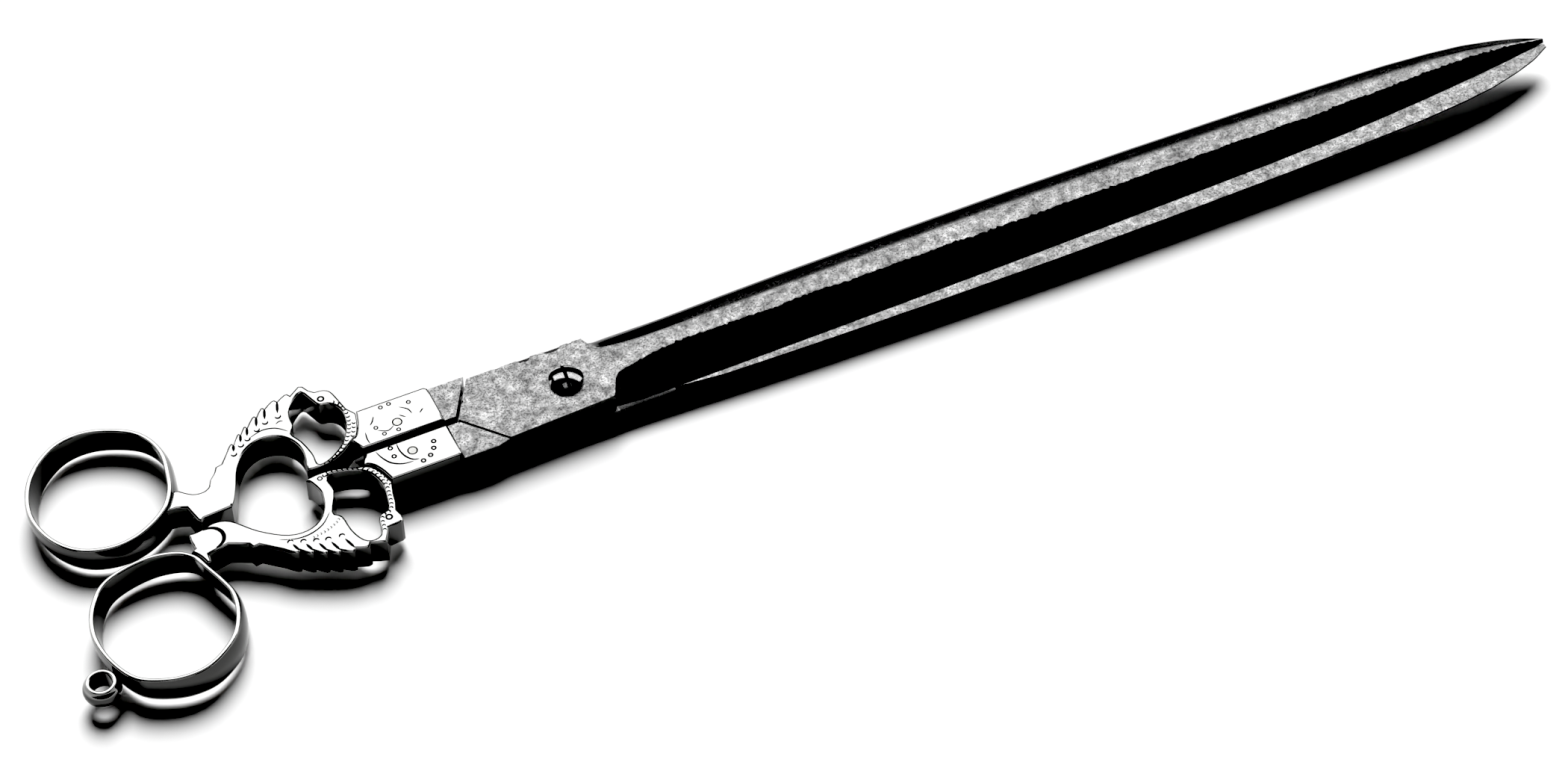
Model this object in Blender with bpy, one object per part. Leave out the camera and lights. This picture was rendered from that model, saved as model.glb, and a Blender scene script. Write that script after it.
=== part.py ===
"""Fabric shears: two half-lapped steel blades on a pivot screw, with cast bird handles and ring bands.

Lengths are written in millimetres and turned into metres as each mesh is made. The pivot axis is Z, the
closed blades point along +X, and Z = 0 is the face of the pivot nut that the shears rest on. The thumb
half lies on top and has its handle on the -Y side; the finger half lies below, with its handle on +Y.
"""

import math

import bmesh
import bpy
from mathutils import Matrix, Vector

MM = 0.001

# Blades and lap joint.
BLADE_LENGTH = 260.0  # pivot axis to tip
BACK_WIDTH = 12.0  # centre line to the back of the blade, at its widest
EDGE_WIDTH = 9.2  # centre line to the cutting edge, at the heel
HALF_THICKNESS = 3.4  # steel of one half, at the lap joint
TIP_THICKNESS = 0.9
EDGE_THICKNESS = 0.25
PLATE_REAR = 26.0  # pivot axis back to the point of the lap
PLATE_FRONT = 8.0  # pivot axis forward to the shoulder of the blade
PLATE_BACK_SIDE = 10.3  # centre line to the plate's sides
PLATE_EDGE_SIDE = 8.7
HEEL_FLARE = 1.0  # the plate's edge side widens this much towards the shank
LAP_SLANT = 6.0  # how far the shoulder of the lap leans forward
SHANK_WIDTH = 10.1
SHANK_STEP = 0.4  # the shank lies this much below the plate

# Pivot.
PIVOT_RADIUS = 2.6
HEAD_RADIUS = 3.95
HEAD_WALL = 0.8
HEAD_HEIGHT = 2.0
SLOT_WIDTH = 0.8
SLOT_DEPTH = 1.0
SLOT_TURN = math.radians(-8)
WASHER_RADIUS = 5.6
WASHER_THICKNESS = 0.4
NUT_ACROSS_FLATS = 9.0
NUT_THICKNESS = 1.5

# Ferrules and tangs. The slit runs between the two handles, from the centre line to each of them.
THUMB_SLIT = 0.45
THUMB_WIDTH = 9.5
FINGER_SLIT = 1.05
FINGER_WIDTH = 10.8
FERRULE_FRONT = 29.0  # pivot axis back to the mouth of the ferrule
FERRULE_LENGTH = 16.8
FERRULE_HEIGHT = 7.7
FERRULE_CORNER = 0.7
TANG_LENGTH = 13.5
TANG_WIDTH = 5.6
TANG_THICKNESS = 3.4
TANG_INSET = 1.3  # the ferrule's inner face to the tang
PIN_RADIUS = 0.9
PIN_SETBACK = 9.7  # mouth of the ferrule back to the pin

# Birds, rings and the eye.
BIRD_LENGTH = 45.0  # ferrule back to the end of the tail
BIRD_WIDTH = 24.0  # centre line to the outermost feather
BIRD_HEIGHT = 6.8
FEATHER_DEPTH = 0.9
RING_LENGTH = 31.0
RING_WIDTH = 33.5
RING_HEIGHT = 7.2
RIM_WIDTH = 1.0
RING_BULGE = 0.5  # the outer face of the band swells this much past its rim
RING_LEAN = 0.15  # the band leans this much towards the blades for each millimetre down
EYE_HOLE = 2.4
EYE_RIM = 3.3
EYE_BARREL = 4.2
EYE_HEIGHT = 5.0
EYE_DROP = 0.8  # the eye stands this much below the edge of the ring
EYE_SINK = 0.6  # how deep the barrel sits in the band's outer face
EYE_STATION = 0.347  # where the eye stands, as a share of the way round the ring

# Clearances.
SEAT_GAP = 0.1  # between flat faces that rest on each other
BORE_GAP = 0.1  # around the pivot and the pins
LAP_GAP = 0.9  # between a plate and the other half's shoulder, along the blades
TANG_GAP = 0.2
BRAZE_GAP = 0.15  # between the castings of a handle

ROUND_STEPS = 48
SPLINE_STEPS = 4

# Levels.
WASHER_BOTTOM = NUT_THICKNESS + SEAT_GAP
PLATE_BOTTOM = WASHER_BOTTOM + WASHER_THICKNESS + SEAT_GAP
MIDDLE = PLATE_BOTTOM + HALF_THICKNESS + SEAT_GAP / 2
PLATE_TOP = MIDDLE + SEAT_GAP / 2 + HALF_THICKNESS

# The sizes at which the outlines below are drawn. They are stretched from these to the driving sizes.
DRAWN_FRONT = 8.0
DRAWN_BLADE = 260.0
DRAWN_BACK = 12.0
DRAWN_EDGE = 9.2
DRAWN_JOINT = 45.8  # pivot axis back to the bird
DRAWN_BIRD = 45.0
DRAWN_BIRD_WIDTH = 24.0
DRAWN_RING_LENGTH = 31.0
DRAWN_RING_WIDTH = 33.5


# ---------------------------------------------------------------- curves


def curve(points, closed=False, steps=SPLINE_STEPS):
    """Points of a smooth curve through the given ones."""
    count = len(points)
    result = []
    for i in range(count if closed else count - 1):
        if closed:
            around = [points[(i + k) % count] for k in (-1, 0, 1, 2)]
        else:
            around = [points[min(max(i + k, 0), count - 1)] for k in (-1, 0, 1, 2)]
        before, start, end, after = (Vector(p) for p in around)
        for step in range(steps):
            t = step / steps
            bend = (end - before) * t + (2 * before - 5 * start + 4 * end - after) * t**2
            bend += (3 * start - before - 3 * end + after) * t**3
            result.append(tuple(start + bend * 0.5))
    if not closed:
        result.append(tuple(points[-1]))
    return result


def outline(*parts):
    """Closed outline of parts that follow each other, without the points that they share."""
    result = []
    for part in parts:
        result += [p for p in part if not result or math.dist(p, result[-1]) > 0.01]
    if math.dist(result[0], result[-1]) < 0.01:
        result.pop()
    return result


def offset(points, distance):
    """Closed outline that runs anticlockwise, moved outwards."""
    moved = []
    for i, point in enumerate(points):
        ahead = Vector(points[(i + 1) % len(points)]) - Vector(points[i - 1])
        out = Vector((ahead.y, -ahead.x)).normalized()
        moved.append(tuple(Vector(point) + out * distance))
    return moved


def slope_at(keys, i):
    """Slope of the curve at a key: none at the ends and the peaks, so that it never overshoots."""
    if i in (0, len(keys) - 1):
        return 0.0
    (x0, v0), (x1, v1), (x2, v2) = keys[i - 1 : i + 2]
    before = (v1 - v0) / (x1 - x0)
    after = (v2 - v1) / (x2 - x1)
    return 2 * before * after / (before + after) if before * after > 0 else 0.0


def value_at(keys, x):
    """Value at x of the smooth curve through the (x, value) keys."""
    x = min(max(x, keys[0][0]), keys[-1][0])
    i = next(i for i in range(len(keys) - 1) if x <= keys[i + 1][0])
    (x0, v0), (x1, v1) = keys[i : i + 2]
    span = x1 - x0
    t = (x - x0) / span
    value = v0 * (1 + 2 * t) * (1 - t) ** 2 + v1 * (3 - 2 * t) * t**2
    value += slope_at(keys, i) * span * t * (1 - t) ** 2
    return value - slope_at(keys, i + 1) * span * t**2 * (1 - t)


# ---------------------------------------------------------------- meshes


def make_object(name, bm):
    """Object of the mesh, whose millimetres become metres."""
    bmesh.ops.recalc_face_normals(bm, faces=bm.faces)
    bmesh.ops.scale(bm, vec=(MM, MM, MM), verts=bm.verts)
    mesh = bpy.data.meshes.new(name)
    bm.to_mesh(mesh)
    bm.free()
    obj = bpy.data.objects.new(name, mesh)
    bpy.context.scene.collection.objects.link(obj)
    return obj


def prism(name, points, low, high):
    """Solid of an outline between two levels."""
    return loft(name, [[(x, y, z) for x, y in points] for z in (low, high)])


def loft(name, sections):
    """Solid through sections that each have the same number of points, closed at both ends."""
    bm = bmesh.new()
    rings = [[bm.verts.new(point) for point in section] for section in sections]
    for ring, following in zip(rings, rings[1:]):
        for i in range(len(ring)):
            j = (i + 1) % len(ring)
            bm.faces.new((ring[i], ring[j], following[j], following[i]))
    bm.faces.new(rings[0])
    bm.faces.new(rings[-1])
    return make_object(name, bm)


def circle(radius, centre=(0.0, 0.0), steps=ROUND_STEPS):
    angles = [2 * math.pi * step / steps for step in range(steps)]
    return [(centre[0] + radius * math.cos(a), centre[1] + radius * math.sin(a)) for a in angles]


def turned(name, profile, centre=(0.0, 0.0)):
    """Solid turned about a vertical axis: a circle of each (radius, level), from the bottom up."""
    return loft(name, [[(x, y, z) for x, y in circle(r, centre)] for r, z in profile])


def cylinder(name, radius, low, high, centre=(0.0, 0.0), steps=ROUND_STEPS):
    return prism(name, circle(radius, centre, steps), low, high)


def combine(obj, tool, operation):
    """Joins the tool to the object, cuts it away or keeps what both hold, and removes the tool."""
    modifier = obj.modifiers.new(tool.name, "BOOLEAN")
    modifier.operation = operation
    modifier.object = tool
    graph = bpy.context.evaluated_depsgraph_get()
    result = bpy.data.meshes.new_from_object(obj.evaluated_get(graph))
    obj.modifiers.clear()
    obj.data = result
    obj.data.name = obj.name
    bpy.data.objects.remove(tool)


def bore(obj, radius, low, high, centre=(0.0, 0.0)):
    combine(obj, cylinder("bore", radius, low, high, centre), "DIFFERENCE")


def lift(obj, turn_over=False):
    """Lifts what is drawn about the level between the halves, and first turns a lower piece over."""
    if turn_over:
        obj.data.transform(Matrix.Rotation(math.pi, 4, "X"))
    obj.data.transform(Matrix.Translation((0, 0, MIDDLE * MM)))


def finish(obj, name, colour, roughness):
    """Gives a piece its metal and smooth round faces."""
    material = bpy.data.materials.new(name)
    material.use_nodes = True
    shader = material.node_tree.nodes["Principled BSDF"]
    shader.inputs["Base Color"].default_value = (*colour, 1)
    shader.inputs["Roughness"].default_value = roughness
    shader.inputs["Metallic"].default_value = 1
    obj.data.materials.clear()
    obj.data.materials.append(material)
    obj.data.shade_smooth()
    obj.data.set_sharp_from_angle(angle=math.radians(35))


# ---------------------------------------------------------------- blades


def along(keys):
    """Keys of a blade profile, stretched to the blade's length."""
    stretch = (BLADE_LENGTH - PLATE_FRONT) / (DRAWN_BLADE - DRAWN_FRONT)
    return [(PLATE_FRONT + (x - DRAWN_FRONT) * stretch, value) for x, value in keys]


def widened(keys, factor):
    """Keys scaled across, apart from the first one, where the blade meets the plate."""
    return [keys[0]] + [(x, value * factor) for x, value in keys[1:]]


def blade_profiles():
    """Back, cutting edge, lower and upper ridge and thickness, each as keys along the blade."""
    backs = [(8, PLATE_BACK_SIDE), (20, 10.4), (60, 11.45), (120, 12), (150, 11.75), (180, 11.2)]
    backs += [(200, 10.7), (220, 9.9), (232, 8.9), (241, 7.7), (249, 5.8), (255, 3.9), (260, 1.3)]
    edges = [(8, -PLATE_EDGE_SIDE), (20, -9.2), (60, -8.9), (120, -7.95), (150, -7.25), (180, -6.5)]
    edges += [(200, -5.6), (220, -4.2), (240, -2.3), (252, -0.9), (260, 0.1)]
    lows = [(8, 0.05 - PLATE_EDGE_SIDE), (9.4, -6.4), (10.4, -3.1), (15, -1.8), (20, -0.6), (28, 0.1)]
    lows += [(60, 0.2), (200, 0.9), (235, 2.1), (250, 2.0), (260, 0.55)]
    highs = [(8, PLATE_BACK_SIDE - 0.05), (9.4, 6.8), (10.4, 6.1), (20, 5.2), (60, 5.8), (90, 6.4)]
    highs += [(120, 6.8), (150, 6.9), (180, 6.6), (200, 6.3), (225, 6.0), (240, 4.9), (252, 2.9)]
    highs += [(260, 0.75)]
    thick = [(8, HALF_THICKNESS), (30, HALF_THICKNESS), (120, HALF_THICKNESS * 0.92)]
    thick += [(200, HALF_THICKNESS * 0.76), (240, HALF_THICKNESS * 0.55), (260, TIP_THICKNESS)]
    back = BACK_WIDTH / DRAWN_BACK
    edge = EDGE_WIDTH / DRAWN_EDGE
    keys = (widened(backs, back), widened(edges, edge), lows, widened(highs, back), thick)
    return [along(profile) for profile in keys]


def blade(name, base):
    """Tapered blade with its flat inner face at the base level: bevel, flat top and slanted back."""
    profiles = blade_profiles()
    drawn = [9.4, 10.4, 12, 15, 20, 28, 44, 60, 90, 120, 150, 180, 200, 212, 220, 232, 241, 249, 255, 260]
    places = [PLATE_FRONT - 2, PLATE_FRONT] + [x for x, _ in along([(x, 0) for x in drawn])]
    sections = []
    for x in places:
        back, edge, low, high, height = (value_at(keys, x) for keys in profiles)
        wall = height - 0.05 if x <= PLATE_FRONT else EDGE_THICKNESS
        section = [(edge, 0), (edge, wall), (low, height), (high, height), (back, wall), (back, 0)]
        sections.append([(x, y, base + z) for y, z in section])
    return loft(name, sections)


def tang(slit, gap=0.0):
    """Tongue of the shank that sits in the ferrule or, with a gap, the pocket that takes it."""
    near = gap - slit - TANG_INSET
    far = near - TANG_WIDTH - 2 * gap
    front = 1 - FERRULE_FRONT
    rear = -(FERRULE_FRONT + TANG_LENGTH) - gap
    half = TANG_THICKNESS / 2 + gap
    return prism("tang", [(front, near), (rear, near), (rear, far), (front, far)], -half, half)


def lap_line(y):
    """Where the plate ends at a distance from the centre line, on its back side."""
    return -PLATE_REAR + LAP_SLANT * y / PLATE_BACK_SIDE


def blade_half(name, slit):
    """One half with its plate on top and its shank on -Y, drawn about the level between the halves."""
    low = SEAT_GAP / 2
    top = low + HALF_THICKNESS
    front = PLATE_FRONT - 1
    heel = (lap_line(PLATE_BACK_SIDE) + 2.5, -PLATE_EDGE_SIDE - HEEL_FLARE)
    plate = [(lap_line(0), 0), (lap_line(PLATE_BACK_SIDE), PLATE_BACK_SIDE), (front, PLATE_BACK_SIDE)]
    plate += [(front, -PLATE_EDGE_SIDE), heel]
    body = prism(name, plate, low, top)
    combine(body, blade("blade", low), "UNION")

    rear = SEAT_GAP - FERRULE_FRONT
    outer = slit + SHANK_WIDTH
    shoulder = [(lap_line(y) - LAP_GAP, -y) for y in (slit, outer)]
    shank = [(rear, -slit)] + shoulder + [(rear, -outer)]
    combine(body, prism("shank", shank, -top, top - SHANK_STEP), "UNION")
    step = [shoulder[0], (lap_line(0) + 3, -slit - 1), (heel[0] + 2, heel[1] + 2), heel, shoulder[1]]
    combine(body, prism("step", step, low, top - SHANK_STEP), "UNION")
    combine(body, tang(slit), "UNION")
    return body


def make_blades():
    steel = (0.50, 0.50, 0.49)
    for hand, slit in (("thumb", THUMB_SLIT), ("finger", FINGER_SLIT)):
        obj = blade_half(hand + "_blade", slit)
        bore(obj, PIVOT_RADIUS + BORE_GAP, -FERRULE_HEIGHT, FERRULE_HEIGHT)
        bore(obj, PIN_RADIUS + BORE_GAP, -FERRULE_HEIGHT, FERRULE_HEIGHT, pin_place(slit))
        lift(obj, turn_over=hand == "finger")
        finish(obj, hand + "_blade_steel", steel, 0.38)


# ---------------------------------------------------------------- pivot


def make_screw():
    """Domed, slotted screw whose end is filed flush with the nut."""
    seat = PLATE_TOP + SEAT_GAP
    profile = [(PIVOT_RADIUS, 0), (PIVOT_RADIUS, seat), (HEAD_RADIUS, seat)]
    for angle in range(0, 90, 15):
        rise = (HEAD_HEIGHT - HEAD_WALL) * math.sin(math.radians(angle))
        profile.append((HEAD_RADIUS * math.cos(math.radians(angle)), seat + HEAD_WALL + rise))
    screw = turned("pivot_screw", profile)
    half = (SLOT_WIDTH / 2, 2 * HEAD_RADIUS)
    corners = [(x * half[0], y * half[1]) for x, y in ((-1, -1), (1, -1), (1, 1), (-1, 1))]
    slot = prism("slot", corners, -SLOT_DEPTH, SLOT_DEPTH)
    slot.data.transform(Matrix.Rotation(SLOT_TURN, 4, "Z"))
    slot.data.transform(Matrix.Translation((0, 0, (seat + HEAD_HEIGHT) * MM)))
    combine(screw, slot, "DIFFERENCE")
    finish(screw, "screw_steel", (0.55, 0.55, 0.54), 0.25)


def make_washer():
    top = WASHER_BOTTOM + WASHER_THICKNESS
    washer = cylinder("pivot_washer", WASHER_RADIUS, WASHER_BOTTOM, top)
    bore(washer, PIVOT_RADIUS + BORE_GAP, 0, PLATE_TOP)
    finish(washer, "washer_brass", (0.72, 0.56, 0.30), 0.35)


def make_nut():
    """Low hexagonal nut, with the corners of its resting face turned off."""
    corner = NUT_ACROSS_FLATS / 2 / math.cos(math.pi / 6)
    nut = cylinder("pivot_nut", corner, 0, NUT_THICKNESS, steps=6)
    reach = corner + 0.2
    cone = [(reach - NUT_THICKNESS - 1, -1), (reach, NUT_THICKNESS), (reach, NUT_THICKNESS + 1)]
    combine(nut, turned("cone", cone), "INTERSECT")
    bore(nut, PIVOT_RADIUS + BORE_GAP, -1, PLATE_TOP)
    finish(nut, "nut_steel", (0.45, 0.45, 0.44), 0.35)


# ---------------------------------------------------------------- ferrules


def pin_place(slit):
    """Centre of the pin through the ferrule and the tang, for the handle on -Y."""
    return (-(FERRULE_FRONT + PIN_SETBACK), -(slit + TANG_INSET + TANG_WIDTH * 0.45))


def ferrule_back(slit, width):
    """Curve where the ferrule meets the bird's neck, from the slit outwards, for the handle on -Y."""
    rear = -(FERRULE_FRONT + FERRULE_LENGTH)
    shares = [(4.0, 0.29), (2.2, 0.43), (1.0, 0.66), (0.3, 0.88), (0.0, 1.0)]
    return [(rear - back, -(slit + width * share)) for back, share in shares]


def make_ferrule(hand, slit, width):
    """Socket that takes the tang, with a curved back for the bird, and the pin that holds them."""
    half = FERRULE_HEIGHT / 2
    back = ferrule_back(slit, width)
    inner = (back[0][0] + 1.4, -slit)
    front = -FERRULE_FRONT
    outer = -slit - width
    mouth = [(front - FERRULE_CORNER, outer), (front, outer + FERRULE_CORNER), (front, -slit)]
    ferrule = prism(hand + "_ferrule", outline(mouth, [inner], curve(back)), -half, half)
    combine(ferrule, tang(slit, TANG_GAP), "DIFFERENCE")
    bore(ferrule, PIN_RADIUS + BORE_GAP, -FERRULE_HEIGHT, FERRULE_HEIGHT, pin_place(slit))
    lift(ferrule, turn_over=hand == "finger")
    finish(ferrule, hand + "_ferrule_metal", (0.82, 0.82, 0.80), 0.18)
    pin = cylinder(hand + "_tang_pin", PIN_RADIUS, -half, half, pin_place(slit), steps=24)
    lift(pin, turn_over=hand == "finger")
    finish(pin, hand + "_pin_metal", (0.78, 0.78, 0.76), 0.22)


# ---------------------------------------------------------------- birds


def bird_points(points):
    """Drawn points of a bird, stretched to its size behind the ferrule."""
    joint = FERRULE_FRONT + FERRULE_LENGTH
    long = BIRD_LENGTH / DRAWN_BIRD
    wide = BIRD_WIDTH / DRAWN_BIRD_WIDTH
    return [((x + DRAWN_JOINT) * long - joint, y * wide) for x, y in points]


def feathers(notches, side):
    """Scalloped wing edge: a rounded feather tip between each two notches."""
    points = []
    for start, end in zip(notches, notches[1:]):
        points.append(start)
        for share, rise in ((0.12, 0.8), (0.35, 1.0), (0.7, 0.55)):
            x = start[0] + (end[0] - start[0]) * share
            y = start[1] + (end[1] - start[1]) * share + side * rise * FEATHER_DEPTH
            points.append((x, y))
    return points + [notches[-1]]


def thumb_bird_outline():
    """From the outer side of the neck round the head, wing, tail and back to the slit."""
    head = curve([(-46.9, -13.2), (-47.3, -15.5), (-47.9, -17.6), (-47.5, -19.3), (-47.7, -21.2)])
    beak = [(-48.4, -21.6), (-51.3, -21.8), (-53.1, -25.4), (-55, -24.8), (-56.4, -24.2)]
    notches = [(-56.4, -24.2), (-59.9, -24.2), (-63, -23.4), (-65.6, -22.3), (-68.3, -21), (-71, -19.6)]
    notches += [(-74.2, -17.8)]
    rump = [(-76, -16.3), (-78.3, -14.3), (-79.8, -14.5), (-80.3, -13.2), (-84.3, -11.2), (-88.9, -12)]
    spike = [(-89.1, -14.2), (-92, -14.2), (-93, -10.4), (-91.2, -9.2)]
    scroll = curve([(-91.2, -9.2), (-91.4, -7), (-91.1, -4.9)])
    back = [(-91.1, -4.9), (-88.8, -4.9), (-85, -4.1), (-81.5, -5.3), (-77, -10.4), (-71.5, -14.3)]
    back += [(-66.5, -14.6), (-62.7, -11.8), (-61.1, -7), (-62, -3.1), (-62.9, -1.9)]
    neck = [(-62.3, -1.3), (-60, -1), (-57, -1.1), (-54, -1.8), (-52, -2.8)]
    return outline(head, beak, feathers(notches, -1), rump, spike, scroll, curve(back), curve(neck))


def thumb_bird_hollow():
    points = [(-60.7, -12.4), (-59.2, -14.5), (-58.7, -19), (-57.3, -22.5), (-55.2, -23.5)]
    points += [(-53.2, -22.4), (-52.5, -19), (-51.3, -17.4), (-49.6, -16.9), (-48.7, -14.2)]
    points += [(-48.2, -10), (-49.4, -6), (-52, -3.9), (-55.5, -2.7), (-58.4, -2.8), (-58.3, -7)]
    return curve(points, closed=True, steps=3)


def finger_bird_outline():
    """From the outer side of the neck round the head, wing, tail and back to the slit."""
    head = curve([(-47.3, 14), (-47.8, 16.5), (-48.6, 20), (-50, 21.3), (-52, 21.6)])
    crest = [(-53, 22.6), (-53.8, 24.3), (-54.8, 24.7), (-57.3, 23)]
    notches = [(-57.3, 23), (-60.5, 22.6), (-63.8, 21.8), (-66.3, 20.3), (-69.2, 18.3), (-71.2, 17)]
    notches += [(-73.6, 14.9), (-76, 13.2)]
    rump = [(-78, 10.8), (-79.5, 10.5), (-80.3, 9), (-81.8, 7.5), (-82.7, 5.8)]
    tail = curve([(-82.7, 5.8), (-84.2, 5.1), (-86.5, 5.5), (-89, 7.7)])
    seat = [(-92, 8.6), (-95.5, 3.6), (-91, 3), (-89, 2.2), (-88, -2), (-87.3, -2.9), (-86.5, -2.1)]
    back = [(-80, -1.7), (-78.6, 0.4), (-77, 4), (-75.2, 8.2), (-72, 12), (-68, 13.6), (-64, 12.7)]
    back += [(-61.4, 9.8), (-60.6, 5.6), (-61.6, 0.8)]
    neck = [(-61.6, 0.8), (-58.5, 0.5), (-55.5, 0.9), (-52.4, 2.3)]
    return outline(head, crest, feathers(notches, 1), rump, tail, seat, curve(back), curve(neck))


def finger_bird_hollow():
    points = [(-54.9, 22.5), (-57, 21.3), (-59.3, 18.5), (-59.8, 14.5), (-61, 12.4), (-59.6, 9.2)]
    points += [(-58.7, 5), (-58.7, 1.8), (-57, 1.6), (-54.5, 2.8), (-51.5, 5.2), (-49.3, 9)]
    points += [(-48.5, 12.5), (-49, 15.2), (-50.6, 16.9), (-52.6, 17.4), (-53.8, 20.2)]
    return curve(points, closed=True, steps=3)


def make_bird(name, points, hollow, joint, ring):
    """Cast bird that stands on the ferrule's curved back and ends against the ring."""
    half = BIRD_HEIGHT / 2
    solid = prism(name, outline(bird_points(points), joint), -half, half)
    combine(solid, prism("hollow", bird_points(hollow), -2 * half, 2 * half), "DIFFERENCE")
    combine(solid, ring_blank("ring_seat", ring, BRAZE_GAP), "DIFFERENCE")
    lift(solid)
    finish(solid, name + "_metal", (0.82, 0.82, 0.80), 0.20)


# ---------------------------------------------------------------- rings


def ring_path(points, seat):
    """Middle line of a rim, anticlockwise, stretched about the place where the tail holds it."""
    long = RING_LENGTH / DRAWN_RING_LENGTH
    wide = RING_WIDTH / DRAWN_RING_WIDTH
    x0, y0 = bird_points([seat])[0]
    return [(x0 + (x - seat[0]) * long, y0 + (y - seat[1]) * wide) for x, y in curve(points, closed=True)]


def thumb_ring_path():
    points = [(-101, -7.4), (-107, -8), (-112.1, -9.9), (-115.3, -13.3), (-117.7, -18.1), (-118.5, -24)]
    points += [(-117.3, -30.6), (-114.2, -36.6), (-108.9, -39.7), (-103.5, -40.8), (-98, -39.8)]
    points += [(-92, -35.5), (-88.9, -30), (-87.9, -24.5), (-88.9, -20), (-90.7, -15.1), (-92.2, -11.3)]
    points += [(-95.4, -8.7)]
    return ring_path(points, (-91.2, -12.8))


def finger_ring_path():
    points = [(-106.8, -1.2), (-102, -0.7), (-97.6, 1.2), (-93.4, 4.4), (-90.7, 8.8), (-89.4, 13.9)]
    points += [(-88.8, 19.5), (-90.4, 24.9), (-94.1, 28.9), (-101.6, 32.2), (-108.8, 31.8), (-115, 27.6)]
    points += [(-118.8, 21.9), (-120.4, 15), (-119.3, 8.5), (-116.4, 3.4), (-112.3, 0.2)]
    return ring_path(points, (-92.2, 7))


def ring_section(path, swell, z):
    """Outline of the leaning band at a level, swollen past the middle line of its rim."""
    lean = RING_LEAN * (RING_HEIGHT / 2 - z)
    return [(x + lean, y, z) for x, y in offset(path, swell)]


def ring_blank(name, path, gap=0.0):
    """The ring's outer shape with no hole: a swelling band, filled across."""
    half = RING_HEIGHT / 2 + gap
    sections = []
    for step in range(-3, 4):
        share = step / 3
        swell = RIM_WIDTH / 2 + RING_BULGE * (1 - share**2) + gap
        sections.append(ring_section(path, swell, share * half))
    return loft(name, sections)


def make_ring(name, path):
    ring = ring_blank(name, path)
    hole = loft("hole", [ring_section(path, -RIM_WIDTH / 2, z) for z in (-RING_HEIGHT, RING_HEIGHT)])
    combine(ring, hole, "DIFFERENCE")
    lift(ring)
    finish(ring, name + "_metal", (0.84, 0.84, 0.82), 0.12)


def make_eye(path):
    """Barrel-shaped lanyard eye, let into the outer face of the thumb ring."""
    at = round(len(path) * EYE_STATION)
    foot = Vector(path[at])
    out = (Vector(offset(path, 1)[at]) - foot).normalized()
    reach = RIM_WIDTH / 2 + RING_BULGE + EYE_BARREL - EYE_SINK
    centre = tuple(foot + out * reach)
    top = RING_HEIGHT / 2 - EYE_DROP
    profile = []
    for step in range(-3, 4):
        share = step / 3
        swell = (EYE_BARREL - EYE_RIM) * (1 - share**2)
        profile.append((EYE_RIM + swell, top - EYE_HEIGHT / 2 * (1 - share)))
    eye = turned("lanyard_eye", profile, centre)
    bore(eye, EYE_HOLE, -RING_HEIGHT, RING_HEIGHT, centre)
    combine(eye, ring_blank("ring_seat", path, BRAZE_GAP), "DIFFERENCE")
    lift(eye)
    finish(eye, "lanyard_eye_metal", (0.82, 0.82, 0.80), 0.18)


# ---------------------------------------------------------------- assembly


def make_thumb_handle():
    make_ferrule("thumb", THUMB_SLIT, THUMB_WIDTH)
    joint = [(x - BRAZE_GAP, y) for x, y in curve(ferrule_back(THUMB_SLIT, THUMB_WIDTH))]
    path = thumb_ring_path()
    make_bird("thumb_bird", thumb_bird_outline(), thumb_bird_hollow(), joint, path)
    make_ring("thumb_ring", path)
    make_eye(path)


def make_finger_handle():
    make_ferrule("finger", FINGER_SLIT, FINGER_WIDTH)
    joint = [(x - BRAZE_GAP, -y) for x, y in curve(ferrule_back(FINGER_SLIT, FINGER_WIDTH))]
    path = finger_ring_path()
    make_bird("finger_bird", finger_bird_outline(), finger_bird_hollow(), joint, path)
    make_ring("finger_ring", path)


def main():
    for obj in list(bpy.data.objects):
        bpy.data.objects.remove(obj)
    make_blades()
    make_screw()
    make_washer()
    make_nut()
    make_thumb_handle()
    make_finger_handle()


main()
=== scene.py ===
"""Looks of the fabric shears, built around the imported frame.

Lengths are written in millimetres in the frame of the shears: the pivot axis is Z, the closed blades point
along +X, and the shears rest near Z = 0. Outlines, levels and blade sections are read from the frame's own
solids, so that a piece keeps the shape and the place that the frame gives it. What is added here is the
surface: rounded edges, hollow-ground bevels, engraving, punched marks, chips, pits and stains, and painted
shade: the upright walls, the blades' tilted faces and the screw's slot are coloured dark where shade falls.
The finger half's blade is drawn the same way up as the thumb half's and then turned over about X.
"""

import math

import bmesh
import bpy
from mathutils import Matrix, Vector, noise


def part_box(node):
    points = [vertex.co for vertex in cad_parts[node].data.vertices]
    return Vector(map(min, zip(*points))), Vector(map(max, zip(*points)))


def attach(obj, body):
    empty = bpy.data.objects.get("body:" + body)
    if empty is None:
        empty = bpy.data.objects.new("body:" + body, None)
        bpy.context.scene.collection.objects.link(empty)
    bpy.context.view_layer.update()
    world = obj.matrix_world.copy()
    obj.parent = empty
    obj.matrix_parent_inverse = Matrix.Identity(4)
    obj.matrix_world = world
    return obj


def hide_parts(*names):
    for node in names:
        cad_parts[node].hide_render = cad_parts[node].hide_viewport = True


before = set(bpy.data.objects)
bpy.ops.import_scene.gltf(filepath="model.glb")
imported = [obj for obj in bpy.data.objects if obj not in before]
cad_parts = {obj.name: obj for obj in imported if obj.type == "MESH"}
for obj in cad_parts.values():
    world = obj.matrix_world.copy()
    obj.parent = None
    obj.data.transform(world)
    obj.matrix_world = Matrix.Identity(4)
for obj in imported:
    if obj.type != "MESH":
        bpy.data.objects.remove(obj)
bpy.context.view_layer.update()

MM = 0.001
WELD = 0.002  # points of the frame's solids nearer than this are one
LEAST_RUN = 0.004  # half the least distance between the points of an outline that is moved inwards
STRAIGHT = math.radians(0.6)  # a point of an outline that turns less than this is left out
LEAST_SPACING = 0.02  # points of an outline nearer than this to the one before are left out
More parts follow.
